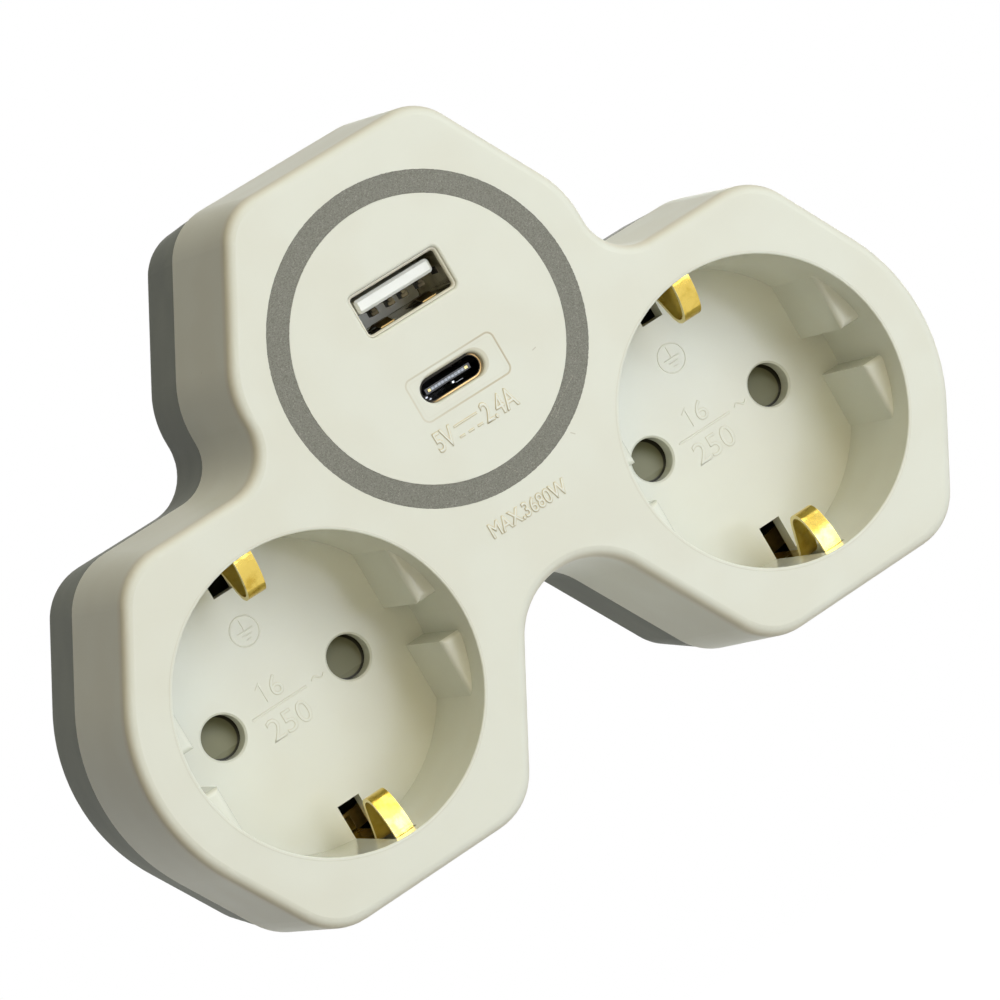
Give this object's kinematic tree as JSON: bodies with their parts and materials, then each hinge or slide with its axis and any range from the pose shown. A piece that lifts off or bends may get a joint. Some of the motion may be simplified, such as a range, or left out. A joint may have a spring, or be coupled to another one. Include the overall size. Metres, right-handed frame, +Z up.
{
  "type": "double socket adapter",
  "caption": "Plug-in adapter with round earthed sockets on two lower lobes and charging ports inside a grey ring on the upper lobe, pale front and grey back.",
  "frame": {"origin": "on the plug's axis, in the plane of the body's flat back", "axes": "+X right seen from the room, +Y into the wall along the plug pins, +Z up"},
  "size_m": [0.1198, 0.0747, 0.0827],
  "materials": {
    "cover_plastic": "pale ivory-grey, soft gloss",
    "back_plastic": "mid grey, fine satin",
    "ring_plastic": "grey with a fine metallic grain",
    "screw_steel": "zinc plated",
    "pin_nickel": "nickel plated brass",
    "shutter_plastic": "grey",
    "spring_steel": "drawn wire",
    "carrier_plastic": "dark grey",
    "contact_brass": "bright stamped strip",
    "bar_brass": "stamped strip",
    "board_laminate": "green solder mask",
    "port_steel": "tin plated",
    "tongue_white": "white",
    "tongue_black": "black",
    "contact_gold": "gold plated",
    "ferrite": "sintered, dark grey",
    "winding_tape": "yellow tape",
    "capacitor_sleeve": "dark shrink sleeve",
    "fuse_body": "brown body",
    "lead_brown": "brown insulation",
    "lead_blue": "blue insulation"
  },
  "bodies": {
    "housing": {"front_cover": "cover_plastic", "rear_cover": "back_plastic", "accent_ring": "ring_plastic", "housing_screws": "screw_steel", "plug_pin_left": "pin_nickel", "plug_pin_right": "pin_nickel", "shutter_spring_left": "spring_steel", "shutter_spring_right": "spring_steel", "contact_carrier_left": "carrier_plastic", "contact_carrier_right": "carrier_plastic", "line_bar": "bar_brass", "neutral_bar": "bar_brass", "earth_plate": "bar_brass", "earth_link": "bar_brass", "earth_strap": "pin_nickel", "earth_tube": "bar_brass", "charger_board": "board_laminate", "usb_a_shell": "port_steel", "usb_a_tongue": "tongue_white", "usb_a_contacts": "contact_gold", "usb_c_shell": "port_steel", "usb_c_tongue": "tongue_black", "transformer_core": "ferrite", "transformer_winding": "winding_tape", "input_capacitor": "capacitor_sleeve", "output_capacitor": "capacitor_sleeve", "controller_chip": "tongue_black", "fuse": "fuse_body", "line_lead": "lead_brown", "neutral_lead": "lead_blue"},
    "shutter_left": {"shutter_left": "shutter_plastic"},
    "shutter_right": {"shutter_right": "shutter_plastic"},
    "earth_contact_left_upper": {"earth_contact_left_upper": "contact_brass"},
    "earth_contact_left_lower": {"earth_contact_left_lower": "contact_brass"},
    "earth_contact_right_upper": {"earth_contact_right_upper": "contact_brass"},
    "earth_contact_right_lower": {"earth_contact_right_lower": "contact_brass"}
  },
  "joints": [
    {"name": "shutter_left_slide", "type": "slide", "parent": "housing", "child": "shutter_left", "axis": [0, 0, -1], "range_m": [0, 0.006], "stiffness_N_per_m": 60, "springref_m": -0.002, "deforming": ["shutter_spring_left"]},
    {"name": "earth_contact_left_upper_flex", "type": "hinge", "parent": "housing", "child": "earth_contact_left_upper", "pos_m": [-0.0335, -0.01325, -0.00965], "axis": [-1, 0, 0], "range_deg": [0, 3], "stiffness_Nm_per_rad": 1.8, "springref_deg": -1.15},
    {"name": "earth_contact_left_lower_flex", "type": "hinge", "parent": "housing", "child": "earth_contact_left_lower", "pos_m": [-0.0335, -0.01325, -0.04995], "axis": [1, 0, 0], "range_deg": [0, 3], "stiffness_Nm_per_rad": 1.8, "springref_deg": -1.15},
    {"name": "shutter_right_slide", "type": "slide", "parent": "housing", "child": "shutter_right", "axis": [0, 0, -1], "range_m": [0, 0.006], "stiffness_N_per_m": 60, "springref_m": -0.002, "deforming": ["shutter_spring_right"]},
    {"name": "earth_contact_right_upper_flex", "type": "hinge", "parent": "housing", "child": "earth_contact_right_upper", "pos_m": [0.0335, -0.01325, -0.00965], "axis": [-1, 0, 0], "range_deg": [0, 3], "stiffness_Nm_per_rad": 1.8, "springref_deg": -1.15},
    {"name": "earth_contact_right_lower_flex", "type": "hinge", "parent": "housing", "child": "earth_contact_right_lower", "pos_m": [0.0335, -0.01325, -0.04995], "axis": [1, 0, 0], "range_deg": [0, 3], "stiffness_Nm_per_rad": 1.8, "springref_deg": -1.15}
  ]
}
